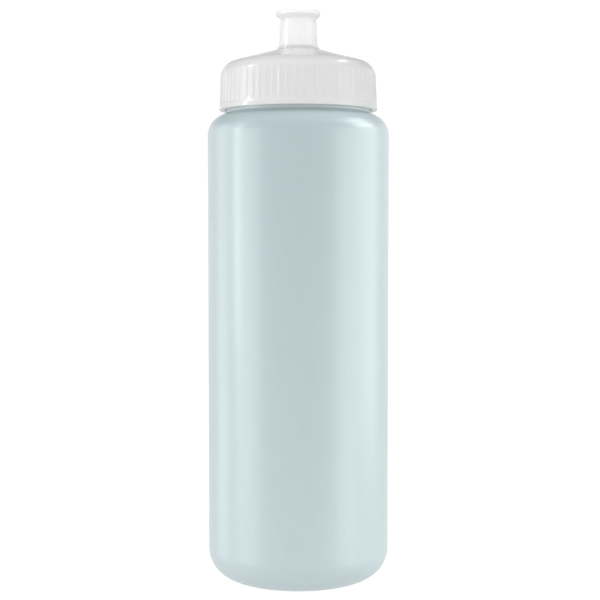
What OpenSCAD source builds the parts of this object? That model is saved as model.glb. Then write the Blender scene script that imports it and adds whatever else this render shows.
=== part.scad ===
// Sports squeeze bottle with a screw lid and a push-pull spout.
// Millimetres. +Z is up and the base stands on Z = 0, centred on the Z axis.
// The lid is shown screwed down tight and the spout pushed down shut.

/* [Bottle] */
// Outside diameter of the straight barrel
body_d = 78.6; // [76:0.2:84]
// Height at which the shoulder meets the ring below the neck
shoulder_z = 202; // [120:1:240]
// Wall thickness of the blown body
body_wall = 1.1; // [0.8:0.1:1.6]
// Outside radius where the barrel turns into the base
base_corner_r = 13; // [8:0.5:15]
// Outside radius where the barrel turns into the shoulder
shoulder_r = 9.2; // [8:0.2:10]
// Fall of the shoulder beside the neck, in degrees
shoulder_slope = 21; // [16:1:26]
// Height of the hollow pushed up into the base
push_up = 3; // [1.5:0.5:5]

/* [Neck] */
// Outside diameter of the neck between its threads
neck_d = 59.4; // [58.6:0.2:60]
// Wall thickness of the neck
neck_wall = 1.5; // [1.2:0.1:1.8]
// Height of the neck above the shoulder
neck_h = 18.2; // [18:0.1:18.6]
// Outside diameter of the plain ring at the foot of the neck
neck_ring_d = 62.6; // [61.6:0.2:62.8]
// Height of that ring
neck_ring_h = 3.2; // [2:0.1:3.6]
// Fillet between the ring and the shoulder
neck_fillet_r = 0.6; // [0.3:0.1:1]

/* [Thread] */
// Rise of the thread in one turn
thread_pitch = 4.2; // [4:0.1:4.4]
// Turns of thread on the neck and in the lid
thread_turns = 1.25; // [1:0.25:1.5]
// How far the thread stands out of the neck, and into the lid
thread_depth = 1.5; // [1.2:0.1:1.6]
// Width of the thread where it meets the wall
thread_root_w = 2; // [1.6:0.1:2.1]
// Width of the thread at its crest
thread_crest_w = 0.9; // [0.6:0.1:1]
// Gap between each crest and the wall it faces
thread_clearance = 0.55; // [0.4:0.05:0.7]

/* [Lid] */
// Outside diameter over the band at the rim
lid_rim_d = 68.4; // [67.8:0.1:69]
// Gap between the shoulder and the rim
lid_gap = 1.4; // [1:0.1:1.8]
// Height of the skirt from the rim to the start of the rounded edge
skirt_h = 14.1; // [13.8:0.1:14.6]
// Draft of the skirt, in degrees
skirt_draft = 2; // [1.5:0.1:2.4]
// Radius of the rounded edge between the skirt and the cone
lid_edge_r = 7; // [6.6:0.1:7.4]
// Slope of the cone, in degrees
cone_slope = 15.4; // [13:0.2:18]
// Thickness of the cone
cone_wall = 1.4; // [1.2:0.1:1.8]
// Height of the plain band at the rim
band_h = 2.2; // [1.5:0.1:3]
// Number of grip ribs round the skirt
rib_count = 68; // [48:4:84]
// Width of one grip rib
rib_w = 0.9; // [0.6:0.1:1.2]
// Depth of the flats between the ribs
rib_depth = 0.4; // [0.3:0.05:0.5]

/* [Gasket] */
// Thickness of the sealing ring
gasket_t = 1.4; // [1:0.1:1.6]

/* [Valve] */
// Outside diameter of the fixed tube that the spout slides on
tube_d = 12; // [11.6:0.1:12.4]
// Bore of the fixed tube
tube_bore_d = 9.2; // [8.8:0.1:9.4]
// Travel of the spout from shut to open
spout_travel = 6.5; // [5:0.5:6.5]
// Diameter of the plug that shuts the drinking hole
plug_d = 4.8; // [4:0.1:5]
// Running clearance between the sliding faces, on the radius
slide_clearance = 0.08; // [0.05:0.01:0.1]
// Outside diameter of the lip at the top of the spout
lip_d = 19.4; // [18.5:0.1:20]

/* [Hidden] */
$fn = 96;

SHELL_COLOUR = [0.79, 0.87, 0.88];
LID_COLOUR = [0.90, 0.90, 0.90];
GASKET_COLOUR = [0.84, 0.85, 0.85];
SPOUT_COLOUR = [0.94, 0.94, 0.94];

// Overlap that makes two pieces of one solid fuse.
OVERLAP = 0.3;
// How far a cut runs past the face that it opens.
CUT_PAST = 1;

// ---- Bottle, derived ----
body_r = body_d / 2;
neck_r = neck_d / 2;
neck_bore_r = neck_r - neck_wall;
neck_ring_r = neck_ring_d / 2;
lip_z = shoulder_z + neck_h;
// The rounded shoulder is an arc about this centre: its top is tangent to the slope beside the ring.
shoulder_cx = body_r - shoulder_r;
shoulder_cz = shoulder_z - shoulder_r / cos(shoulder_slope)
    - (shoulder_cx - neck_ring_r) * tan(shoulder_slope);
// The base rests on a flat ring between these radii.
rest_w = 3.4;
rest_out_r = body_r - base_corner_r;
rest_in_r = rest_out_r - rest_w;
// The hollow under the base rises in a short steep step, and then on to its full height.
hollow_step_w = 2.5;
hollow_step_h = 1.2;
hollow_rise_w = 6.5;

// ---- Thread, derived ----
skirt_bore_r = neck_r + thread_depth + thread_clearance;
// The thread's lower end lies this far under the lip.
thread_below_lip = 10.2;
neck_thread_z = lip_z - thread_below_lip;
// The lid's thread lies this far below the neck's, so its upper flank all but touches it.
thread_axial_gap = 0.15;
lid_thread_z = neck_thread_z - thread_root_w - thread_axial_gap
    + (thread_root_w - thread_crest_w) / 2;
thread_start_deg = 20;
thread_taper_deg = 30;
thread_steps_per_turn = 40;
// Share of its height that the thread keeps at its very ends.
thread_end_share = 0.05;

// ---- Lid, derived ----
rim_z = shoulder_z + lid_gap;
seat_z = lip_z + gasket_t;
rim_r = lid_rim_d / 2;
// The ribs' tops lie on this drafted face, just inside the band at the rim.
band_proud = 0.1;
face_rim_r = rim_r - band_proud;
band_edge = 0.3;
edge_cz = rim_z + skirt_h;
edge_cx = face_rim_r - (skirt_h + lid_edge_r * sin(skirt_draft)) * tan(skirt_draft)
    - lid_edge_r * cos(skirt_draft);
edge_low = [edge_cx + lid_edge_r * cos(skirt_draft), edge_cz + lid_edge_r * sin(skirt_draft)];
edge_high = [edge_cx + lid_edge_r * sin(cone_slope), edge_cz + lid_edge_r * cos(cone_slope)];
// Guide ring inside the neck, which also keeps the gasket in its seat.
guide_gap = 0.8;
guide_wall = 0.9;
guide_reach = 2.8;
guide_out_r = neck_bore_r - guide_gap;
guide_in_r = guide_out_r - guide_wall;
guide_z = seat_z - guide_reach;
gasket_gap = 0.1;
gasket_past_neck = 0.8;
gasket_in_r = guide_out_r + gasket_gap;
gasket_out_r = neck_r + gasket_past_neck;
seat_out_r = gasket_out_r + gasket_gap;
// The skirt's bore narrows to the seat over this height.
seat_cone_h = 2;

// ---- Valve, derived ----
tube_r = tube_d / 2;
tube_bore_r = tube_bore_d / 2;
// The spout shuts down on a round landing that stands on the cone.
landing_r = lip_d / 2 - 0.6;
landing_h = 0.95;
landing_edge = 0.4;
landing_z = cone_z(landing_r) + landing_h;
spout_rest_gap = 0.05;
spout_z = landing_z + spout_rest_gap;
tube_h = 10;
tube_top_z = spout_z + tube_h;
// A bead near the tube's top holds the spout on.
stop_bead_h = 1.2;
stop_bead_proud = 0.37;
stop_bead_lead = 0.4;
stop_bead_edge = 0.25;
stop_bead_z = tube_top_z - stop_bead_lead - stop_bead_h;
stop_bead_r = tube_r + stop_bead_proud;
spoke_h = 3;
spoke_w = 1;
spoke_edge = 0.3;
plug_r = plug_d / 2;
plug_h = 14.4;
plug_tip = 0.6;
plug_foot = 0.5;
plug_top_z = spout_z + plug_h;
spout_h = 15.3;
spout_bore_r = stop_bead_r + slide_clearance;
catch_h = 1.2;
catch_ease = 0.3;
catch_spare = 0.1;
catch_z = stop_bead_z - spout_travel - catch_h - catch_spare;
catch_r = tube_r + slide_clearance;
// The drinking hole fits the plug closer than the sliding faces fit each other.
hole_fit_share = 0.6;
hole_r = plug_r + slide_clearance * hole_fit_share;
hole_edge = 0.5;

// Height of the cone's outside face at radius r.
function cone_z(r) = edge_high[1] + (edge_high[0] - r) * tan(cone_slope);
// Height of its inside face.
function roof_z(r) = cone_z(r) - cone_wall / cos(cone_slope);

// ---- Shared shapes ----

// Half section of the bottle, filled to the axis and shrunk by inset on every curved side.
module bottle_section(inset, neck, floor_z, top_z) {
    slope_end = [
        shoulder_cx + (shoulder_r - inset) * sin(shoulder_slope),
        shoulder_cz + (shoulder_r - inset) * cos(shoulder_slope)
    ];
    corner = base_corner_r - inset;
    union() {
        polygon([
            [0, base_corner_r],
            [body_r - inset, base_corner_r],
            [body_r - inset, shoulder_cz],
            slope_end,
            [neck, slope_end[1] + (slope_end[0] - neck) * tan(shoulder_slope)],
            [neck, top_z],
            [0, top_z]
        ]);
        translate([shoulder_cx, shoulder_cz]) circle(r = shoulder_r - inset);
        translate([0, floor_z]) square([rest_out_r, base_corner_r + OVERLAP - floor_z]);
        translate([rest_out_r, base_corner_r]) circle(r = corner);
    }
}

// Half section of the plain ring at the foot of the neck, with a fillet down to the shoulder.
module neck_ring_section() {
    f = neck_fillet_r;
    chamfer = neck_ring_r - neck_r;
    top_z = shoulder_z + neck_ring_h;
    centre = [
        neck_ring_r + f,
        shoulder_z + (f - f * sin(shoulder_slope)) / cos(shoulder_slope)
    ];
    touch = centre - f * [sin(shoulder_slope), cos(shoulder_slope)];
    polygon([
        [neck_bore_r, shoulder_z - OVERLAP],
        [neck_ring_r, shoulder_z - OVERLAP],
        [neck_ring_r, top_z - chamfer],
        [neck_r, top_z],
        [neck_bore_r, top_z]
    ]);
    difference() {
        polygon([
            [neck_ring_r - OVERLAP, centre[1]],
            [centre[0], centre[1]],
            touch,
            touch - [0, OVERLAP],
            [neck_ring_r - OVERLAP, shoulder_z - OVERLAP]
        ]);
        translate(centre) circle(r = f);
    }
}

// One helical thread, right-handed, whose middle starts at height z.
// root is the radius it is buried to and crest the radius it reaches: crest < root cuts inward.
module thread(root, crest, z) {
    steps = round(thread_steps_per_turn * thread_turns);
    sweep_deg = 360 * thread_turns;
    inward = crest < root;
    half_root = thread_root_w / 2;
    half_crest = thread_crest_w / 2;
    points = [
        for (i = [0:steps])
            let (
                a = sweep_deg * i / steps,
                z_mid = z + thread_pitch * a / 360,
                grown = min(1, a / thread_taper_deg, (sweep_deg - a) / thread_taper_deg),
                tip = root + (crest - root) * (thread_end_share + (1 - thread_end_share) * grown),
                ring = [[root, -half_root], [tip, -half_crest], [tip, half_crest], [root, half_root]]
            )
            for (k = [0:3])
                let (p = ring[inward ? k : 3 - k])
                [p[0] * cos(thread_start_deg + a), p[0] * sin(thread_start_deg + a), z_mid + p[1]]
    ];
    sides = [
        for (i = [0:steps - 1])
            for (k = [0:3])
                let (a = 4 * i + k, b = 4 * i + (k + 1) % 4)
                each [[a, a + 4, b], [b, a + 4, b + 4]]
    ];
    first = [[0, 1, 2], [0, 2, 3]];
    last = [[4 * steps, 4 * steps + 2, 4 * steps + 1], [4 * steps, 4 * steps + 3, 4 * steps + 2]];
    polyhedron(points = points, faces = concat(sides, first, last), convexity = 8);
}

// ---- Bottle ----

// Half section of the hollow pushed up under the base.
module base_hollow_section() {
    polygon([
        [0, -CUT_PAST],
        [rest_in_r, -CUT_PAST],
        [rest_in_r, 0],
        [rest_in_r - hollow_step_w, hollow_step_h],
        [rest_in_r - hollow_step_w - hollow_rise_w, push_up],
        [0, push_up]
    ]);
}

// Half section of the floor inside, raised over the hollow.
module base_floor_section() {
    // Measured along the rest ring, these keep the wall over each slope as thick as elsewhere.
    step_out = 0.8;
    step_in = 0.6;
    rise_in = 0.3;
    step_r = rest_in_r - hollow_step_w + step_in;
    polygon([
        [0, body_wall - OVERLAP],
        [rest_in_r + step_out, body_wall - OVERLAP],
        [rest_in_r + step_out, body_wall],
        [step_r, body_wall + hollow_step_h],
        [rest_in_r - hollow_step_w - hollow_rise_w + rise_in, body_wall + push_up],
        [0, body_wall + push_up]
    ]);
}

module bottle_body() {
    color(SHELL_COLOUR)
    union() {
        rotate_extrude()
            difference() {
                union() {
                    difference() {
                        bottle_section(0, neck_r, 0, lip_z);
                        bottle_section(body_wall, neck_bore_r, body_wall, lip_z + CUT_PAST);
                    }
                    base_floor_section();
                    neck_ring_section();
                }
                base_hollow_section();
            }
        thread(neck_r - OVERLAP, neck_r + thread_depth, neck_thread_z);
    }
}

// ---- Gasket ----

module lid_gasket() {
    color(GASKET_COLOUR)
    translate([0, 0, lip_z])
    difference() {
        cylinder(r = gasket_out_r, h = gasket_t);
        translate([0, 0, -CUT_PAST]) cylinder(r = gasket_in_r, h = gasket_t + 2 * CUT_PAST);
    }
}

// ---- Lid ----

// Half section of the lid's outside, filled to the axis; sunk is how far the skirt's face lies in.
module lid_section(sunk) {
    union() {
        polygon([
            [0, rim_z],
            [face_rim_r - sunk, rim_z],
            edge_low - [sunk, 0],
            edge_high,
            [tube_r, cone_z(tube_r)],
            [0, cone_z(tube_r)]
        ]);
        intersection() {
            translate([edge_cx, edge_cz]) circle(r = lid_edge_r);
            // Above the flats the rounded edge comes back in over them.
            translate([edge_cx - lid_edge_r, edge_cz - lid_edge_r])
                square([2 * lid_edge_r - sunk - skirt_draft_loss(), 2 * lid_edge_r]);
        }
    }
}

// How far the drafted face has come in from the arc's widest point where it meets the arc.
function skirt_draft_loss() = lid_edge_r * (1 - cos(skirt_draft));

// Everything hollow inside the lid, in half section.
module lid_cavity_section() {
    polygon([
        [0, rim_z - CUT_PAST],
        [skirt_bore_r, rim_z - CUT_PAST],
        [skirt_bore_r, seat_z - seat_cone_h],
        [seat_out_r, seat_z],
        [guide_out_r, seat_z],
        [guide_out_r, guide_z],
        [guide_in_r, guide_z],
        [guide_in_r, roof_z(guide_in_r)],
        [tube_bore_r, roof_z(tube_bore_r)],
        [tube_bore_r, tube_top_z + CUT_PAST],
        [0, tube_top_z + CUT_PAST]
    ]);
}

// Half section of the fixed tube, with the bead that stops the spout from coming off.
module tube_section() {
    polygon([
        [0, cone_z(landing_r) - OVERLAP],
        [landing_r, cone_z(landing_r) - OVERLAP],
        [landing_r, landing_z - landing_edge],
        [landing_r - landing_edge, landing_z],
        [tube_r, landing_z],
        [tube_r, stop_bead_z],
        [stop_bead_r, stop_bead_z + stop_bead_edge],
        [stop_bead_r, stop_bead_z + stop_bead_h],
        [tube_r - stop_bead_lead, tube_top_z],
        [0, tube_top_z]
    ]);
}

// Grip ribs, trimmed to the lid's outside and rooted in its skirt.
module grip_ribs() {
    root_r = edge_low[0] - rib_depth - OVERLAP;
    intersection() {
        rotate_extrude() lid_section(0);
        for (i = [0:rib_count - 1])
            rotate([0, 0, 360 * (i + 0.5) / rib_count])
                translate([root_r, -rib_w / 2, rim_z + band_h / 2])
                    cube([rim_r - root_r, rib_w, skirt_h - band_h / 2]);
    }
}

// Half section of the plain band round the rim, with its two edges broken.
module rim_band_section() {
    polygon([
        [skirt_bore_r, rim_z],
        [rim_r - band_edge, rim_z],
        [rim_r, rim_z + band_edge],
        [rim_r, rim_z + band_h - band_edge],
        [rim_r - band_edge, rim_z + band_h],
        [skirt_bore_r, rim_z + band_h]
    ]);
}

// The plug that shuts the drinking hole, on three spokes in the tube's mouth.
module plug_and_spokes() {
    foot_z = tube_top_z - spoke_h;
    spoke_count = 3;
    first_spoke_deg = 30;
    rotate_extrude()
        polygon([
            [0, foot_z - plug_foot],
            [plug_r - plug_foot, foot_z - plug_foot],
            [plug_r, foot_z],
            [plug_r, plug_top_z - plug_tip],
            [plug_r - plug_tip, plug_top_z],
            [0, plug_top_z]
        ]);
    for (i = [0:spoke_count - 1])
        rotate([0, 0, first_spoke_deg + 360 * i / spoke_count])
            translate([plug_r / 2, -spoke_w / 2, foot_z + spoke_edge])
                cube([tube_bore_r + OVERLAP - plug_r / 2, spoke_w, spoke_h - 3 * spoke_edge]);
}

module screw_lid() {
    color(LID_COLOUR)
    union() {
        rotate_extrude()
            difference() {
                union() {
                    lid_section(rib_depth);
                    rim_band_section();
                    tube_section();
                }
                lid_cavity_section();
            }
        grip_ribs();
        plug_and_spokes();
        thread(skirt_bore_r + OVERLAP, neck_r + thread_clearance, lid_thread_z);
    }
}

// ---- Spout ----

// Half section of the spout's outside, filled to the axis.
module spout_section() {
    ring_r = 8.35;
    ring_h = 2.4;
    barrel_low_r = 8.2;
    barrel_high_r = 8;
    barrel_h = 10.9;
    waist_r = 7.6;
    waist_h = 11.9;
    edge = 0.2;
    shoulder_w = 0.3;
    shoulder_h = 0.6;
    lip_round_r = 1.1;
    lip_cz = spout_h - lip_round_r;
    // The lip's underside meets its rounding at this point of the circle.
    lip_under = lip_round_r * [0.6, -0.8];
    translate([0, spout_z])
    union() {
        polygon([
            [0, 0],
            [ring_r - edge, 0],
            [ring_r, edge],
            [ring_r, ring_h - edge],
            [barrel_low_r, ring_h],
            [barrel_high_r, barrel_h - shoulder_h],
            [barrel_high_r - shoulder_w, barrel_h],
            [waist_r, barrel_h + shoulder_h],
            [waist_r, waist_h],
            [lip_d / 2 - lip_round_r + lip_under[0], lip_cz + lip_under[1]],
            [lip_d / 2 - lip_round_r, spout_h],
            [0, spout_h]
        ]);
        translate([lip_d / 2 - lip_round_r, lip_cz]) circle(r = lip_round_r);
    }
}

// Everything hollow inside the spout, in half section.
module spout_cavity_section() {
    ceiling = tube_top_z + 0.7;
    funnel = 1.5;
    lead_in = 0.4;
    polygon([
        [0, spout_z - CUT_PAST],
        [spout_bore_r + lead_in, spout_z - CUT_PAST],
        [spout_bore_r + lead_in, spout_z],
        [catch_r, catch_z],
        [catch_r, catch_z + catch_h],
        [spout_bore_r, catch_z + catch_h + catch_ease],
        [spout_bore_r, ceiling],
        [spout_bore_r - funnel, ceiling + funnel],
        [hole_r, ceiling + funnel],
        [hole_r, spout_z + spout_h - hole_edge],
        [hole_r + hole_edge, spout_z + spout_h],
        [hole_r + hole_edge, spout_z + spout_h + CUT_PAST],
        [0, spout_z + spout_h + CUT_PAST]
    ]);
}

module pull_spout() {
    color(SPOUT_COLOUR)
    rotate_extrude()
        difference() {
            spout_section();
            spout_cavity_section();
        }
}

bottle_body();
lid_gasket();
screw_lid();
pull_spout();
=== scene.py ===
import math

import bpy
import numpy as np
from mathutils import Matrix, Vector


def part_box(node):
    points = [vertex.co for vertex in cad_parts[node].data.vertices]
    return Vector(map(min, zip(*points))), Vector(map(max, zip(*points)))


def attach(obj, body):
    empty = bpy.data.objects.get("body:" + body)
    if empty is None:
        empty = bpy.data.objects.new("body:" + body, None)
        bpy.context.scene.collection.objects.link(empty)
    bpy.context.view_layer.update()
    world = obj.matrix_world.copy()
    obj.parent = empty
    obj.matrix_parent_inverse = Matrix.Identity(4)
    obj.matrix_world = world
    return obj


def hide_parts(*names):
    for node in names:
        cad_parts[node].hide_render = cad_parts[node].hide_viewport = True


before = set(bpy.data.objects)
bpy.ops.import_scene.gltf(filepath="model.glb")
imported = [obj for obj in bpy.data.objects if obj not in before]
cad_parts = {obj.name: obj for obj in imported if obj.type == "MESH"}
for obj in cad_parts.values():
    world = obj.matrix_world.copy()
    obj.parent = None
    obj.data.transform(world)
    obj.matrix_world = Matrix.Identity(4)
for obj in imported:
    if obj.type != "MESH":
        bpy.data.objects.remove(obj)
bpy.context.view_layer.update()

MM = 0.001
TINY = 1e-6


def corners_of(node):
    """Lowest and highest corner of a CAD node in millimetres."""
    low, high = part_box(node)
    return np.array(low) / MM, np.array(high) / MM


body_high = corners_of("bottle_body")[1]
gasket_low, gasket_high = corners_of("lid_gasket")
lid_low, lid_high = corners_of("screw_lid")
spout_low, spout_high = corners_of("pull_spout")


# ---- Shapes ----


# An outline that turns by less than this, in radians, is taken as straight.
STRAIGHT = 0.01
# A fillet from this radius up keeps it, and a smaller one shrinks to fit between its neighbours.
KEPT_FILLET = 2
SMALL_FILLET = 1


def turned(v, angle):
    """A flat vector turned by an angle."""
    c, s = math.cos(angle), math.sin(angle)
    return np.array([c * v[0] - s * v[1], s * v[0] + c * v[1]])


def rounded(corners, closed=False, step_deg=7.5, small_step_deg=None):
    """Outline through (radius, height, fillet) corners, each rounded by an arc of its fillet.
    Fillets under SMALL_FILLET take steps of small_step_deg where it is given."""
    count = len(corners)
    points = []
    for i, (r, z, fillet) in enumerate(corners):
        here = np.array([r, z], float)
        at_end = not closed and i in (0, count - 1)
        if at_end or fillet <= 0:
            points.append(here)
            continue
        back = np.array(corners[i - 1][:2], float) - here
        ahead = np.array(corners[(i + 1) % count][:2], float) - here
        room = 0.5 * min(np.linalg.norm(back), np.linalg.norm(ahead))
        back /= np.linalg.norm(back)
        ahead /= np.linalg.norm(ahead)
        between = math.acos(float(np.clip(back @ ahead, -1, 1)))
        if between > math.pi - STRAIGHT:
            points.append(here)
            continue
        reach = fillet / math.tan(between / 2)
        if reach > room and fillet < KEPT_FILLET:
            fillet *= room / reach
            reach = room
        middle = (back + ahead) / np.linalg.norm(back + ahead)
        centre = here + middle * fillet / math.sin(between / 2)
        start = here + back * reach - centre
        end = here + ahead * reach - centre
        sweep = math.atan2(start[0] * end[1] - start[1] * end[0], float(start @ end))
        step = small_step_deg if small_step_deg and fillet < SMALL_FILLET else step_deg
        steps = max(2, math.ceil(abs(math.degrees(sweep)) / step))
        points += [centre + turned(start, sweep * k / steps) for k in range(steps + 1)]
    return np.array(points)


# A flat this many times as long as the step beside it gets one short step at that end.
LONG_FLAT = 3


def refined(outline, longest, closed=False):
    """Adds points so that no step is longer than longest(r, z), and so that long flats meet
    an arc with one short step, which keeps the shading of the flat even."""
    ends = np.vstack([outline, outline[:1]]) if closed else outline
    lengths = np.linalg.norm(np.diff(ends, axis=0), axis=1)
    points = []
    for i, length in enumerate(lengths):
        a, b = ends[i], ends[i + 1]
        if length < TINY:
            continue
        marks = [0.0, 1.0]
        before = lengths[i - 1] if i or closed else length
        after = lengths[(i + 1) % len(lengths)] if i + 1 < len(lengths) or closed else length
        if length > LONG_FLAT * before > 0:
            marks.append(before / length)
        if length > LONG_FLAT * after > 0:
            marks.append(1 - after / length)
        marks = sorted(marks)
        for low, high in zip(marks, marks[1:]):
            middle = a + (b - a) * (low + high) / 2
            parts = math.ceil((high - low) * length / longest(*middle))
            for k in range(parts):
                points.append(a + (b - a) * (low + (high - low) * k / parts))
    if not closed:
        points.append(ends[-1])
    return np.array(points)


# A plain row of points keeps one angle in this many.
PLAIN_STRIDE = 4


def lathe(outline, angles, shape=None, closed=False, plain=None):
    """Vertices and faces of an outline in millimetres spun about Z. shape(r, z, angle) moves
    the points first, and plain marks the rows that need fewer angles."""
    columns = len(angles)
    plain = np.zeros(len(outline), bool) if plain is None else plain
    r = np.repeat(outline[:, 0][:, None], columns, axis=1)
    z = np.repeat(outline[:, 1][:, None], columns, axis=1)
    angle = np.repeat(angles[None, :], len(outline), axis=0)
    if shape:
        r, z = shape(r, z, angle)
    grid = np.stack([r * np.cos(angle), r * np.sin(angle), z], axis=2) * MM
    tops = [] if closed else [i for i in (0, len(outline) - 1) if outline[i, 0] < TINY]
    rows = [i for i in range(len(outline)) if i not in tops]
    verts = []
    index = {}
    for row in rows:
        index[row] = len(verts)
        verts += [tuple(v) for v in grid[row][::PLAIN_STRIDE if plain[row] else 1]]

    def along(row, start, count):
        """The row's points from one angle to a later one."""
        stride = PLAIN_STRIDE if plain[row] else 1
        return [index[row] + j % columns // stride
                for j in range(start, start + count + 1, stride)]

    faces = []
    pairs = list(zip(rows, rows[1:]))
    if closed:
        pairs.append((rows[-1], rows[0]))
    for low, high in pairs:
        count = PLAIN_STRIDE if plain[low] or plain[high] else 1
        for j in range(0, columns, count):
            faces.append((*along(low, j, count), *reversed(along(high, j, count))))
    for top in tops:
        middle = len(verts)
        verts.append(tuple(grid[top][0]))
        ring = index[rows[0]] if top == 0 else index[rows[-1]]
        for j in range(columns):
            k = (j + 1) % columns
            faces.append((middle, ring + k, ring + j) if top == 0
                         else (middle, ring + j, ring + k))
    return verts, faces


def block(size, at, azimuth, edge):
    """Vertices and faces of a bar with broken edges, along the radius at an azimuth. at is its
    middle's radius and height."""
    hx, hy, hz = (s / 2 for s in size)
    section = [(-hy + edge, -hz), (hy - edge, -hz), (hy, -hz + edge), (hy, hz - edge),
               (hy - edge, hz), (-hy + edge, hz), (-hy, hz - edge), (-hy, -hz + edge)]
    verts = []
    for x in (-hx, hx):
        for y, z in section:
            px, py = at[0] + x, y
            verts.append(((px * math.cos(azimuth) - py * math.sin(azimuth)) * MM,
                          (px * math.sin(azimuth) + py * math.cos(azimuth)) * MM,
                          (at[1] + z) * MM))
    n = len(section)
    faces = [(k, (k + 1) % n, n + (k + 1) % n, n + k) for k in range(n)]
    faces += [tuple(reversed(range(n))), tuple(range(n, 2 * n))]
    return verts, faces


def piece(name, parts, sharp_deg=50):
    """One smooth-shaded object from several (vertices, faces) parts."""
    verts, faces = [], []
    for part_verts, part_faces in parts:
        base = len(verts)
        verts += part_verts
        faces += [tuple(base + i for i in face) for face in part_faces]
    mesh = bpy.data.meshes.new(name)
    mesh.from_pydata(verts, [], faces)
    mesh.validate()
    mesh.shade_smooth()
    mesh.set_sharp_from_angle(angle=math.radians(sharp_deg))
    obj = bpy.data.objects.new(name, mesh)
    bpy.context.scene.collection.objects.link(obj)
    return obj


def even_angles(count, near=(), spread_deg=()):
    """Even angles round the axis, with more at spread_deg either side of each one in near."""
    angles = list(np.arange(count) * 2 * math.pi / count)
    for middle in near:
        angles += [math.radians(middle + s * d) for d in spread_deg for s in (-1, 1)]
    return np.unique(np.round(np.mod(angles, 2 * math.pi), 7))


def from_angle(angle, middle_deg):
    """Signed angle in radians from a middle angle."""
    return (angle - math.radians(middle_deg) + math.pi) % (2 * math.pi) - math.pi


def smooth(t):
    """Rises from 0 to 1 with level ends."""
    t = np.clip(t, 0, 1)
    return t * t * (3 - 2 * t)


# ---- Threads ----

THREAD_PITCH = 4.2
THREAD_START_DEG = 20
THREAD_TURNS = 1.25
THREAD_TAPER_DEG = 30
THREAD_ROOT_W = 2.0
THREAD_CREST_W = 0.9
# The rows of points are close from this far below the thread's start.
THREAD_MARGIN = 1.5
TURN_DEG = 360


def thread_height(z, angle, start_z):
    """Share of the full thread height at each point, from 0 to 1."""
    sweep = TURN_DEG * THREAD_TURNS
    first = np.mod(np.degrees(angle) - THREAD_START_DEG, TURN_DEG)
    best = np.zeros_like(z)
    for turn in range(math.ceil(THREAD_TURNS)):
        along = first + TURN_DEG * turn
        off = np.abs(z - (start_z + THREAD_PITCH * along / TURN_DEG))
        flank = (THREAD_ROOT_W - THREAD_CREST_W) / 2
        rise = np.clip((THREAD_ROOT_W / 2 - off) / flank, 0, 1)
        grown = smooth(np.minimum(along, sweep - along) / THREAD_TAPER_DEG)
        best = np.maximum(best, np.where(along <= sweep, rise * grown, 0))
    return best


# ---- Bottle ----

body_r = body_high[0]
lip_z = body_high[2]
WALL = 1.1
NECK_H = 18.2
NECK_R = 29.7
NECK_BORE_R = 28.2
RING_R = 31.3
RING_H = 3.2
RING_FILLET = 1.9
THREAD_CREST_R = 31.2
THREAD_BELOW_LIP = 10.2
SLOPE = math.tan(math.radians(21))
BASE_CORNER_R = 13
SHOULDER_R = 9.2
REST_IN_R = 22.9
PUSH_UP = 3
# The lines where the two halves of the mould met.
SEAM_H = 0.03
SEAM_W = 0.45
SEAM_AT_DEG = (0, 180)
# Kept clear between the seams and the CAD box.
BOX_SPARE = 0.03
# The blown wall wanders inwards by up to 1.6 of these.
WAVE_H = 0.045
# The seam pinched shut across the hollow under the base.
PINCH_H = 0.35
PINCH_W = 0.7
shell_r = body_r - SEAM_H - BOX_SPARE
shoulder_z = lip_z - NECK_H
neck_thread_z = lip_z - THREAD_BELOW_LIP


def slope_z(r, drop=0.0):
    """Height of the shoulder's slope at a radius, or of a face that far below it."""
    return shoulder_z - (r - RING_R) * SLOPE - drop


inner_drop = WALL / math.cos(math.atan(SLOPE))
inner_r = shell_r - WALL
body_corners = [
    (0, PUSH_UP, 0),
    (13.9, PUSH_UP, 4),
    (20.4, 1.2, 3),
    (REST_IN_R, 0, 0.8),
    (shell_r, 0, BASE_CORNER_R),
    (shell_r, slope_z(shell_r), SHOULDER_R),
    (RING_R, slope_z(RING_R), RING_FILLET),
    (RING_R, shoulder_z + RING_H - (RING_R - NECK_R), 0.25),
    (NECK_R, shoulder_z + RING_H, 0.25),
    (NECK_R, lip_z, 0.3),
    (NECK_BORE_R, lip_z, 0.3),
    (NECK_BORE_R, slope_z(NECK_BORE_R, inner_drop), 1.5),
    (inner_r, slope_z(inner_r, inner_drop), SHOULDER_R - WALL),
    (inner_r, WALL, BASE_CORNER_R - WALL),
    (23.7, WALL, 1),
    (21, 2.4, 3),
    (14.2, PUSH_UP + WALL, 4),
    (0, PUSH_UP + WALL, 0),
]


def body_step(r, z):
    """Longest step between rows of points: short across the thread."""
    thread_span = 7.5
    on_neck = r > NECK_R - 0.5
    if on_neck and neck_thread_z - THREAD_MARGIN < z < neck_thread_z + thread_span:
        return 0.2
    return 6.0


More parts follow.
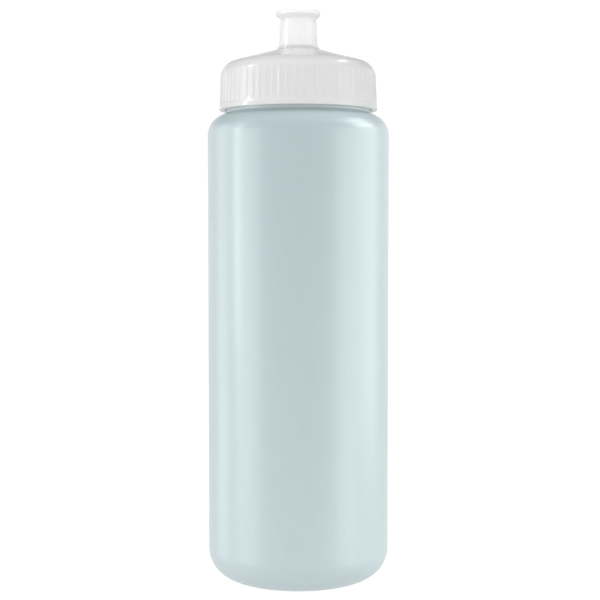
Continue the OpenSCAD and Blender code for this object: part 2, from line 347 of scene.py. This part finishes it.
def body_shape(r, z, angle):
    """Outside thread, the two lines where the mould halves met, the pinched seam across the
    hollow under the base, and a faint unevenness of the blown wall."""
    outer_skin = outline_is_outer[:, None] & np.ones_like(angle, bool)
    seam = np.zeros_like(r)
    for middle in SEAM_AT_DEG:
        off = np.abs(from_angle(angle, middle)) * shell_r
        seam = np.maximum(seam, 1 - smooth(off / SEAM_W))
    radial = np.where(outer_skin & (z < lip_z - 0.5), seam * SEAM_H, 0)
    wave = (np.sin(3 * angle + z * 0.021) * np.sin(z * 0.047 + 0.8)
            + 0.6 * np.sin(5 * angle - z * 0.034 + 1.7)) * 0.5 - 0.8
    barrel_from, barrel_to, fade = 14, 188, 20
    barrel = smooth((z - barrel_from) / fade) * smooth((barrel_to - z) / fade)
    radial = radial + np.where(outer_skin, wave * WAVE_H * barrel * (1 - seam), 0)
    crest = THREAD_CREST_R - NECK_R
    height = thread_height(z, angle, neck_thread_z)
    on_neck = outer_skin & (z > shoulder_z + RING_H) & (z < lip_z - 0.4)
    radial = radial + np.where(on_neck, height * crest, 0)
    # The pinched seam runs along X and fades out towards the ring that the base rests on.
    under = outer_skin & (z < PUSH_UP + 0.01) & (r < REST_IN_R - 0.9)
    across = np.abs(r * np.sin(angle))
    ridge = (1 - smooth(across / PINCH_W)) * (1 - smooth((r - 15) / 5))
    return r + radial, z - np.where(under, ridge * PINCH_H, 0)


body_outline = refined(rounded(body_corners, step_deg=6), body_step)
lip_row = int(np.argmax(body_outline[:, 1]))
outline_is_outer = np.arange(len(body_outline)) <= lip_row
body_angles = even_angles(288, near=SEAM_AT_DEG, spread_deg=(0.25, 0.45, 0.7, 1.0))
bottle = piece("bottle_shell", [lathe(body_outline, body_angles, body_shape)])

# ---- Gasket ----

GASKET_HOLE_R = 27.5
GASKET_EDGE = 0.35
gasket_corners = [
    (GASKET_HOLE_R, gasket_low[2], GASKET_EDGE),
    (gasket_high[0], gasket_low[2], GASKET_EDGE),
    (gasket_high[0], gasket_high[2], GASKET_EDGE),
    (GASKET_HOLE_R, gasket_high[2], GASKET_EDGE),
]
gasket_outline = refined(rounded(gasket_corners, closed=True, step_deg=15),
                         lambda r, z: 0.8, closed=True)
gasket = piece("seal_ring", [lathe(gasket_outline, even_angles(240), closed=True)])

# ---- Lid ----

rim_z = lid_low[2]
rim_r = lid_high[0]
plug_top_z = lid_high[2]
BAND_H = 2.2
BAND_PROUD = 0.1
SKIRT_H = 14.1
RIB_COUNT = 68
RIB_DEPTH = 0.22
EDGE_R = 7
SKIRT_BORE_R = 31.75
DRAFT = math.tan(math.radians(2))
CONE_DEG = 15.4
CONE_SLOPE = math.tan(math.radians(CONE_DEG))
CONE_WALL = 1.4 / math.cos(math.radians(CONE_DEG))
# Radius and height above the rim at which the rounded edge runs into the cone.
CONE_FROM = (28.46, 20.85)
THREAD_DROP = 1.6
LID_THREAD_CREST_R = 30.25
GUIDE_OUT_R = 27.4
GUIDE_IN_R = 26.5
GUIDE_REACH = 2.8
LANDING_R = 9.1
LANDING_BELOW_PLUG = 14.45
TUBE_R = 6
TUBE_BORE_R = 4.6
TUBE_BELOW_PLUG = 4.4
BEAD_R = 6.37
BEAD_BELOW_TOP = 1.6
BEAD_H = 1.2
face_rim_r = rim_r - BAND_PROUD
skirt_top_z = rim_z + SKIRT_H
cone_from_z = rim_z + CONE_FROM[1]
seat_z = gasket_high[2]
guide_z = seat_z - GUIDE_REACH
lid_thread_z = neck_thread_z - THREAD_DROP
landing_z = plug_top_z - LANDING_BELOW_PLUG
tube_top_z = plug_top_z - TUBE_BELOW_PLUG
bead_z = tube_top_z - BEAD_BELOW_TOP


def face_r(z):
    """Radius of the skirt's drafted face."""
    return face_rim_r - (z - rim_z) * DRAFT


def cone_z(r, drop=0.0):
    """Height of the cone at a radius, or of a face that far below it."""
    return cone_from_z + (CONE_FROM[0] - r) * CONE_SLOPE - drop


# The drafted face and the cone would meet at this height, before the edge is rounded.
edge_z = rim_z + (cone_from_z - rim_z + (CONE_FROM[0] - face_rim_r) * CONE_SLOPE) / (
    1 - DRAFT * CONE_SLOPE)
band_top_z = rim_z + BAND_H
lid_corners = [
    (SKIRT_BORE_R, rim_z, 0.3),
    (rim_r, rim_z, 0.3),
    (rim_r, band_top_z - 0.3, 0.4),
    (face_r(band_top_z), band_top_z + 0.2, 0.4),
    (face_r(edge_z), edge_z, EDGE_R),
    (LANDING_R, cone_z(LANDING_R), 0.35),
    (LANDING_R, landing_z, 0.4),
    (TUBE_R, landing_z, 0.3),
    (TUBE_R, bead_z, 0.1),
    (BEAD_R, bead_z + 0.25, 0.12),
    (BEAD_R, bead_z + BEAD_H, 0.15),
    (TUBE_R - 0.3, tube_top_z, 0.15),
    (TUBE_BORE_R, tube_top_z, 0.25),
    (TUBE_BORE_R, cone_z(TUBE_BORE_R, CONE_WALL), 0.4),
    (GUIDE_IN_R, cone_z(GUIDE_IN_R, CONE_WALL), 0.4),
    (GUIDE_IN_R, guide_z, 0.2),
    (GUIDE_OUT_R, guide_z, 0.2),
    (GUIDE_OUT_R, seat_z, 0.15),
    (30.6, seat_z, 0.2),
    (SKIRT_BORE_R, seat_z - 2, 0.6),
]


def lid_step(r, z):
    """Longest step between rows of points: short over the ribs' ends and across the thread."""
    thread_span = 7
    if r > SKIRT_BORE_R + 0.5 and z < skirt_top_z + 3.5:
        return 1.2 if z > band_top_z + 1 else 0.35
    if abs(r - SKIRT_BORE_R) < 0.1:
        on_thread = lid_thread_z - THREAD_MARGIN < z < lid_thread_z + thread_span
        return 0.26 if on_thread else 1.5
    return 5.0


rib_pitch = 2 * math.pi / RIB_COUNT
# Half the width of a rib's top, and the width of each of its flanks.
RIB_TOP = 0.28
RIB_FLANK = 0.46


def rib_height(angle):
    """1 on top of a rib, 0 on the flat between two."""
    off = np.abs(np.mod(angle, rib_pitch) - rib_pitch / 2) * face_rim_r
    return 1 - smooth((off - RIB_TOP) / RIB_FLANK)


def lid_shape(r, z, angle):
    """Flats between the ribs, which fade in above the band, and the thread inside."""
    outer = lid_is_outer[:, None] & np.ones_like(angle, bool)
    sunk = np.clip(r - (face_r(z) - RIB_DEPTH), 0, RIB_DEPTH)
    start = smooth((z - band_top_z - 0.1) / 0.8)
    flats = np.where(outer & (z > band_top_z), sunk * start * (1 - rib_height(angle)), 0)
    on_bore = ~outer & (np.abs(r - SKIRT_BORE_R) < 0.05)
    thread = thread_height(z, angle, lid_thread_z) * (SKIRT_BORE_R - LID_THREAD_CREST_R)
    return r - flats - np.where(on_bore, thread, 0), z


# Where the points lie across each rib and the flat beside it, in millimetres.
rib_offsets = np.array([
    -1.3, -0.88, -0.72, -0.58, -0.43, -RIB_TOP, 0.0, RIB_TOP, 0.43, 0.58, 0.72, 0.88])
lid_angles = np.sort(np.concatenate([
    (i + 0.5) * rib_pitch + rib_offsets / face_rim_r for i in range(RIB_COUNT)]))
lid_outline = refined(rounded(lid_corners, closed=True, small_step_deg=15), lid_step, closed=True)
row_r, row_z = lid_outline.T
on_outside = np.arange(len(lid_outline)) <= int(np.argmax(row_z))
lid_is_outer = on_outside & (row_r > SKIRT_BORE_R + 0.4)
# The ribs need every angle, and so does the rounded edge over them, down to this radius on the
# cone. Everything inside the skirt's bore, and the rest of the cone, doesn't.
RIBBED_R = 27
over_ribs = on_outside & (row_r >= RIBBED_R) & (row_z > band_top_z)
lid_plain = ~over_ribs & (~on_outside | (row_r <= SKIRT_BORE_R + 0.3))
PLUG_R = 2.4
SPOKE_H = 2.1
SPOKE_W = 1
SPOKE_EDGE = 0.15
SPOKE_BELOW_TOP = 1.65
FIRST_SPOKE_DEG = 30
SPOKE_COUNT = 3
plug_foot_z = tube_top_z - 3.5
plug_outline = refined(rounded([
    (0, plug_foot_z, 0),
    (PLUG_R - 0.5, plug_foot_z, 0.2),
    (PLUG_R, plug_foot_z + 0.5, 0.3),
    (PLUG_R, plug_top_z, 0.7),
    (0, plug_top_z, 0),
], step_deg=10), lambda r, z: 1.5)
spoke_len = TUBE_BORE_R + 0.3 - PLUG_R / 2
spokes = [
    block((spoke_len, SPOKE_W, SPOKE_H),
          (PLUG_R / 2 + spoke_len / 2, tube_top_z - SPOKE_BELOW_TOP),
          math.radians(FIRST_SPOKE_DEG + TURN_DEG / SPOKE_COUNT * i), SPOKE_EDGE)
    for i in range(SPOKE_COUNT)
]
lid = piece("lid_shell", [
    lathe(lid_outline, lid_angles, lid_shape, closed=True, plain=lid_plain),
    lathe(plug_outline, even_angles(64)),
    *spokes,
])

# ---- Spout ----

spout_z = spout_low[2]
spout_top_z = spout_high[2]
lip_r = spout_high[0]
LIP_ROUND = 1.1
FOOT_R = 8.35
BORE_R = 6.45
LEAD_IN = 0.4
CATCH_R = 6.08
CATCH_UP = 0.6
CATCH_H = 1.2
CATCH_EASE = 0.3
CEILING_UP = 10.7
FUNNEL = 1.5
HOLE_R = 2.448
HOLE_EDGE = 0.5
catch_z = spout_z + CATCH_UP
catch_top_z = catch_z + CATCH_H
ceiling_z = spout_z + CEILING_UP
spout_corners = [
    (BORE_R + LEAD_IN, spout_z, 0.1),
    (FOOT_R, spout_z, 0.25),
    (FOOT_R, spout_z + 2.35, 0.18),
    (8.2, spout_z + 2.45, 0.1),
    (8.0, spout_z + 10.35, 0.35),
    (7.65, spout_z + 11.0, 0.3),
    (7.6, spout_z + 11.9, 0.5),
    (lip_r, spout_top_z - 1.61, LIP_ROUND),
    (lip_r, spout_top_z, LIP_ROUND),
    (HOLE_R + HOLE_EDGE, spout_top_z, 0.25),
    (HOLE_R, spout_top_z - HOLE_EDGE, 0.25),
    (HOLE_R, ceiling_z + FUNNEL, 0.15),
    (BORE_R - FUNNEL, ceiling_z + FUNNEL, 0.3),
    (BORE_R, ceiling_z, 0.3),
    (BORE_R, catch_top_z + CATCH_EASE, 0.15),
    (CATCH_R, catch_top_z, 0.15),
    (CATCH_R, catch_z, 0.15),
]
spout_outline = refined(rounded(spout_corners, closed=True, step_deg=6),
                        lambda r, z: 1.5, closed=True)
spout = piece("spout_mouthpiece",
              [lathe(spout_outline, even_angles(224), closed=True)])


# ---- Materials ----


class Nodes:
    """Shorthand for one material's node tree, which starts from a Principled shader."""

    def __init__(self, name, **sockets):
        self.material = bpy.data.materials.new(name)
        self.material.use_nodes = True
        self.tree = self.material.node_tree
        self.tree.nodes.clear()
        self.out = self.add("ShaderNodeOutputMaterial")
        self.shader = self.add("ShaderNodeBsdfPrincipled")
        self.link(self.shader.outputs[0], self.out.inputs["Surface"])
        for key, value in sockets.items():
            self.shader.inputs[key.replace("_", " ")].default_value = value
        self.place = self.add("ShaderNodeTexCoord").outputs["Object"]

    def add(self, kind, **settings):
        node = self.tree.nodes.new(kind)
        for key, value in settings.items():
            setattr(node, key, value)
        return node

    def link(self, a, b):
        self.tree.links.new(a, b)

    def stretched(self, scale):
        """The place on the piece, scaled along X, Y and Z."""
        node = self.add("ShaderNodeMapping")
        node.inputs["Scale"].default_value = scale
        self.link(self.place, node.inputs["Vector"])
        return node.outputs["Vector"]

    def noise(self, scale, detail=3.0, rough=0.5, where=None, distortion=0.0):
        node = self.add("ShaderNodeTexNoise")
        node.inputs["Scale"].default_value = scale
        node.inputs["Detail"].default_value = detail
        node.inputs["Roughness"].default_value = rough
        node.inputs["Distortion"].default_value = distortion
        self.link(where or self.place, node.inputs["Vector"])
        return node.outputs["Fac"]

    def spread(self, value, low, high, to_low, to_high):
        """Maps low to high smoothly on to to_low to to_high, and clamps beyond them."""
        node = self.add("ShaderNodeMapRange", interpolation_type="SMOOTHSTEP")
        for key, number in (("From Min", low), ("From Max", high),
                            ("To Min", to_low), ("To Max", to_high)):
            node.inputs[key].default_value = number
        self.link(value, node.inputs["Value"])
        return node.outputs["Result"]

    def maths(self, kind, a, b):
        node = self.add("ShaderNodeMath", operation=kind)
        for socket, value in zip(node.inputs, (a, b)):
            if isinstance(value, (int, float)):
                socket.default_value = value
            else:
                self.link(value, socket)
        return node.outputs[0]

    def blend(self, share, a, b):
        """A share of colour b over colour a."""
        node = self.add("ShaderNodeMix", data_type="RGBA")
        for socket, value in ((node.inputs[0], share), (node.inputs[6], a), (node.inputs[7], b)):
            if isinstance(value, (int, float)):
                socket.default_value = value
            elif isinstance(value, tuple):
                socket.default_value = (*value, 1)
            else:
                self.link(value, socket)
        return node.outputs[2]

    def bump(self, height, depth, strength=1.0, below=None):
        """A normal from a height that reaches depth metres, on top of the normal below."""
        node = self.add("ShaderNodeBump")
        node.inputs["Strength"].default_value = strength
        node.inputs["Distance"].default_value = depth
        self.link(height, node.inputs["Height"])
        if below is not None:
            self.link(below, node.inputs["Normal"])
        return node.outputs["Normal"]

    def feed(self, **sockets):
        """Links the shader's inputs and gives the material."""
        for key, value in sockets.items():
            self.link(value, self.shader.inputs[key.replace("_", " ")])
        return self.material


def body_look():
    """Satin skin over pale plastic that carries light. The colour is deeper towards the
    shoulder, and paler on the ring under the lid as painted light, standing in for light that
    comes through the lid."""
    m = Nodes("body_plastic", IOR=1.45, Coat_Weight=0.9, Coat_Roughness=0.3, Coat_IOR=1.65,
              Subsurface_Weight=0.25, Subsurface_Scale=0.0012, Subsurface_Radius=(1.0, 1.2, 1.2))
    cloudy = m.noise(14, 1)
    streaks = m.noise(30, 2, 0.5, m.stretched((1, 1, 0.1)))
    colour = m.blend(m.spread(cloudy, 0.25, 0.75, 0, 1), (0.432, 0.530, 0.548),
                     (0.442, 0.540, 0.557))
    colour = m.blend(m.spread(streaks, 0.3, 0.8, 0, 0.4), colour, (0.450, 0.546, 0.562))
    worn = m.spread(m.noise(420, 4, 0.62, m.stretched((1, 1, 0.4)), 0.6), 0.45, 0.85, 0, 0.3)
    colour = m.blend(worn, colour, (0.52, 0.61, 0.63))
    axes = m.add("ShaderNodeSeparateXYZ")
    m.link(m.place, axes.inputs[0])
    z = axes.outputs["Z"]
    deeper = m.spread(z, -0.04, 0.22, 0, 0.95)
    colour = m.blend(deeper, colour, (0.36, 0.455, 0.475))
    # Painted light: the ring under the lid is paler, in place of light that comes through the
    # lid.
    painted_light_under_lid = m.maths("MULTIPLY", m.spread(z, 0.2008, 0.2024, 0, 0.65),
                    m.spread(z, 0.2036, 0.2052, 1, 0.15))
    colour = m.blend(painted_light_under_lid, colour, (0.62, 0.70, 0.712))
    rough = m.spread(m.noise(40, 2, 0.5), 0.25, 0.75, 0.285, 0.305)
    rough = m.maths("ADD", rough, m.maths("MULTIPLY", worn, 0.12))
    peel = m.bump(m.noise(70, 1, 0.4), 0.00004, 0.2)
    satin = m.bump(m.noise(3000, 1, 0.5), 0.000003, 0.2, peel)
    return m.feed(Base_Color=colour, Roughness=rough, Normal=satin)


def lid_look():
    """Milky white plastic with a glossy skin and faint flow streaks."""
    m = Nodes("lid_plastic", IOR=1.5, Transmission_Weight=0.3, Specular_IOR_Level=0.3,
              Coat_Weight=0.7, Coat_Roughness=0.1, Subsurface_Weight=0.3,
              Subsurface_Scale=0.0015, Subsurface_Radius=(1.1, 1.1, 1.1))
    colour = m.blend(m.spread(m.noise(35, 1), 0.25, 0.75, 0, 1), (0.915, 0.915, 0.911),
                     (0.925, 0.925, 0.922))
    flow = m.noise(60, 2, 0.5, m.stretched((1, 1, 0.2)), 0.8)
    colour = m.blend(m.spread(flow, 0.4, 0.8, 0, 0.3), colour, (0.935, 0.935, 0.935))
    worn = m.spread(m.noise(500, 4, 0.65), 0.45, 0.85, 0, 0.3)
    colour = m.blend(worn, colour, (0.88, 0.88, 0.875))
    rough = m.spread(m.noise(60, 2, 0.5), 0.25, 0.75, 0.33, 0.38)
    rough = m.maths("ADD", rough, m.maths("MULTIPLY", worn, 0.12))
    sink = m.bump(m.noise(70, 1, 0.4), 0.00002, 0.2)
    fine = m.bump(m.noise(2200, 1, 0.5), 0.000003, 0.2, sink)
    return m.feed(Base_Color=colour, Roughness=rough, Normal=fine)


def spout_look():
    """The lid's plastic, whiter and less see-through."""
    m = Nodes("spout_plastic", IOR=1.5, Transmission_Weight=0.12, Specular_IOR_Level=0.3,
              Coat_Weight=0.9, Coat_Roughness=0.1, Subsurface_Weight=0.3,
              Subsurface_Scale=0.0015, Subsurface_Radius=(1.1, 1.1, 1.1))
    colour = m.blend(m.spread(m.noise(80, 1), 0.25, 0.75, 0, 1), (0.945, 0.945, 0.945),
                     (0.955, 0.955, 0.955))
    worn = m.spread(m.noise(600, 4, 0.65), 0.45, 0.85, 0, 0.3)
    colour = m.blend(worn, colour, (0.93, 0.93, 0.925))
    rough = m.spread(m.noise(90, 2, 0.5), 0.25, 0.75, 0.33, 0.38)
    rough = m.maths("ADD", rough, m.maths("MULTIPLY", worn, 0.12))
    fine = m.bump(m.noise(2200, 1, 0.5), 0.000003, 0.2)
    return m.feed(Base_Color=colour, Roughness=rough, Normal=fine)


def gasket_look():
    """Matt foam with fine cells."""
    m = Nodes("gasket_foam", IOR=1.45)
    cells = m.add("ShaderNodeTexVoronoi")
    cells.inputs["Scale"].default_value = 2800
    m.link(m.place, cells.inputs["Vector"])
    colour = m.blend(m.spread(m.noise(240, 3), 0.3, 0.7, 0, 1), (0.66, 0.67, 0.67),
                     (0.72, 0.73, 0.73))
    rough = m.spread(m.noise(500, 3), 0.3, 0.7, 0.72, 0.88)
    pores = m.bump(cells.outputs["Distance"], 0.0001, 0.5)
    return m.feed(Base_Color=colour, Roughness=rough, Normal=pores)


for obj, look, node, body, slot in (
    (bottle, body_look, "bottle_body", "bottle", "body_plastic"),
    (gasket, gasket_look, "lid_gasket", "gasket", "gasket_foam"),
    (lid, lid_look, "screw_lid", "lid", "lid_plastic"),
    (spout, spout_look, "pull_spout", "spout", "spout_plastic"),
):
    obj.data.materials.append(look())
    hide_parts(node)
    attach(obj, body)


# ---- Stage ----

FLOOR_R = 6
FLOOR_Z = -0.0001
FLOOR_SIDES = 64
floor_mesh = bpy.data.meshes.new("floor")
ring = [(FLOOR_R * math.cos(a), FLOOR_R * math.sin(a), FLOOR_Z)
        for a in np.arange(FLOOR_SIDES) * 2 * math.pi / FLOOR_SIDES]
floor_mesh.from_pydata(ring, [], [tuple(range(FLOOR_SIDES))])
floor = bpy.data.objects.new("floor", floor_mesh)
bpy.context.scene.collection.objects.link(floor)
white = Nodes("floor_white", Roughness=0.9, Emission_Strength=0.9, Specular_IOR_Level=0,
              Base_Color=(0.22, 0.22, 0.22, 1), Emission_Color=(1, 1, 1, 1))
# The floor can be looked through from below, so that the base can be seen.
from_below = white.add("ShaderNodeMixShader")
white.link(white.add("ShaderNodeNewGeometry").outputs["Backfacing"], from_below.inputs[0])
white.link(white.shader.outputs[0], from_below.inputs[1])
white.link(white.add("ShaderNodeBsdfTransparent").outputs[0], from_below.inputs[2])
white.link(from_below.outputs[0], white.out.inputs["Surface"])
floor.data.materials.append(white.material)
# Only the camera sees it, so it throws no light on the bottle. It is too bright to show a
# shadow.
floor.visible_diffuse = False
floor.visible_glossy = False
floor.visible_transmission = False
floor.visible_shadow = False

# ---- World ----

# The studio's brightness on the camera's side and behind, and what it is multiplied by in a
# darker belt above the horizon, straight up, and below the horizon.
FRONT_LEVEL = 1.15
BACK_LEVEL = 0.88
BELT_LEVEL = 0.76
BACK_BELT_LEVEL = 0.48
OVERHEAD_LEVEL = 1.4
TABLE_LEVEL = 0.85
# What the camera itself sees behind the bottle.
BACKDROP_LEVEL = 1.05
world = bpy.data.worlds.new("studio")
bpy.context.scene.world = world
world.use_nodes = True
tree = world.node_tree
tree.nodes.clear()


def world_node(kind, **settings):
    node = tree.nodes.new(kind)
    for key, value in settings.items():
        setattr(node, key, value)
    return node


def world_range(value, low, high, to_low, to_high):
    node = world_node("ShaderNodeMapRange", interpolation_type="SMOOTHSTEP")
    for key, number in (("From Min", low), ("From Max", high),
                        ("To Min", to_low), ("To Max", to_high)):
        node.inputs[key].default_value = number
    tree.links.new(value, node.inputs["Value"])
    return node.outputs["Result"]


def world_times(a, b):
    node = world_node("ShaderNodeMath", operation="MULTIPLY")
    tree.links.new(a, node.inputs[0])
    tree.links.new(b, node.inputs[1])
    return node.outputs[0]


coord = world_node("ShaderNodeTexCoord")
split = world_node("ShaderNodeSeparateXYZ")
tree.links.new(coord.outputs["Generated"], split.inputs[0])
by_depth = world_range(split.outputs["Y"], -0.5, 0.5, FRONT_LEVEL, BACK_LEVEL)
# The belt is darkest behind the bottle.
belt = world_range(split.outputs["Y"], 0.0, 0.5, BELT_LEVEL, BACK_BELT_LEVEL)
by_belt = world_range(split.outputs["Z"], 0.2, 0.42, 1.0, BELT_LEVEL)
tree.links.new(belt, by_belt.node.inputs["To Max"])
by_zenith = world_range(split.outputs["Z"], 0.5, 0.8, 1.0, OVERHEAD_LEVEL)
by_table = world_range(split.outputs["Z"], -0.15, 0.0, TABLE_LEVEL, 1.0)
level = world_times(world_times(world_times(by_depth, by_belt), by_zenith), by_table)
seen = world_node("ShaderNodeLightPath")
chosen = world_node("ShaderNodeMix", data_type="FLOAT")
tree.links.new(seen.outputs["Is Camera Ray"], chosen.inputs[0])
tree.links.new(level, chosen.inputs[2])
chosen.inputs[3].default_value = BACKDROP_LEVEL
backdrop = world_node("ShaderNodeBackground")
backdrop.inputs["Color"].default_value = (1, 1, 1, 1)
tree.links.new(chosen.outputs[0], backdrop.inputs["Strength"])
output = world_node("ShaderNodeOutputWorld")
tree.links.new(backdrop.outputs[0], output.inputs["Surface"])


# ---- Lights ----


def softbox(name, azimuth_deg, height, distance, width, tall, radiance, aim_z, onto=(),
            gloss_only=False):
    """An area light. Azimuth 0 is the camera's side and 90 is the right of the picture.
    A light with onto= is flagged off from every other piece, and a gloss_only light makes
    highlights without lighting the surface."""
    light = bpy.data.lights.new(name, "AREA")
    light.shape = "RECTANGLE"
    light.size = width
    light.size_y = tall
    light.energy = radiance * math.pi * width * tall
    lamp = bpy.data.objects.new(name, light)
    a = math.radians(azimuth_deg)
    lamp.location = (distance * math.sin(a), -distance * math.cos(a), height)
    towards = Vector((0, 0, aim_z)) - lamp.location
    lamp.rotation_euler = towards.to_track_quat("-Z", "Y").to_euler()
    lamp.visible_camera = False
    lamp.visible_diffuse = not gloss_only
    lamp.visible_transmission = not gloss_only
    bpy.context.scene.collection.objects.link(lamp)
    if onto:
        lit = bpy.data.collections.new(name + "_lit")
        for obj in onto:
            lit.objects.link(obj)
        lamp.light_linking.receiver_collection = lit


softbox("left_strip", -81, 0.40, 0.9, 0.03, 0.8, 18.0, 0.16)
softbox("left_fill", -66, 0.08, 1.0, 0.6, 0.7, 1.3, 0.10, onto=[bottle])
softbox("left_back", -108, 0.20, 1.0, 0.4, 0.9, 1.1, 0.12, onto=[bottle])
softbox("right_box", 96, 0.28, 1.0, 0.7, 0.8, 1.45, 0.14, onto=[bottle])
softbox("right_fill", 62, 0.08, 1.0, 0.5, 0.7, 1.2, 0.10, onto=[bottle])
softbox("right_high", 96, 0.85, 0.95, 0.6, 0.6, 3.2, 0.19, onto=[bottle])
softbox("cap_right", 75, 0.30, 1.0, 0.5, 0.4, 0.9, 0.22, onto=[lid, spout])
softbox("spout_front", 12, 0.12, 0.9, 0.7, 0.5, 0.6, 0.23, onto=[spout])
softbox("cap_strip", -81, 0.50, 0.9, 0.12, 0.7, 7.0, 0.22, onto=[lid, spout], gloss_only=True)
softbox("cap_top", 111, 1.02, 0.6, 0.45, 0.12, 5.0, 0.22, onto=[lid, spout], gloss_only=True)

# ---- Camera ----

camera_data = bpy.data.cameras.new("camera")
# Fitted to the photo's outline.
camera_data.sensor_width = 36
camera_data.lens = 80.4
camera = bpy.data.objects.new("camera", camera_data)
camera.location = (0.00074, -0.5845, 0.1532)
camera.rotation_euler = (math.radians(86.88), 0, 0)
bpy.context.scene.collection.objects.link(camera)
bpy.context.scene.camera = camera
bpy.context.scene.view_settings.view_transform = "Standard"

# ---- Corners as plain lists ----


def plain(corners):
    return [[float(x) for x in corner] for corner in corners]
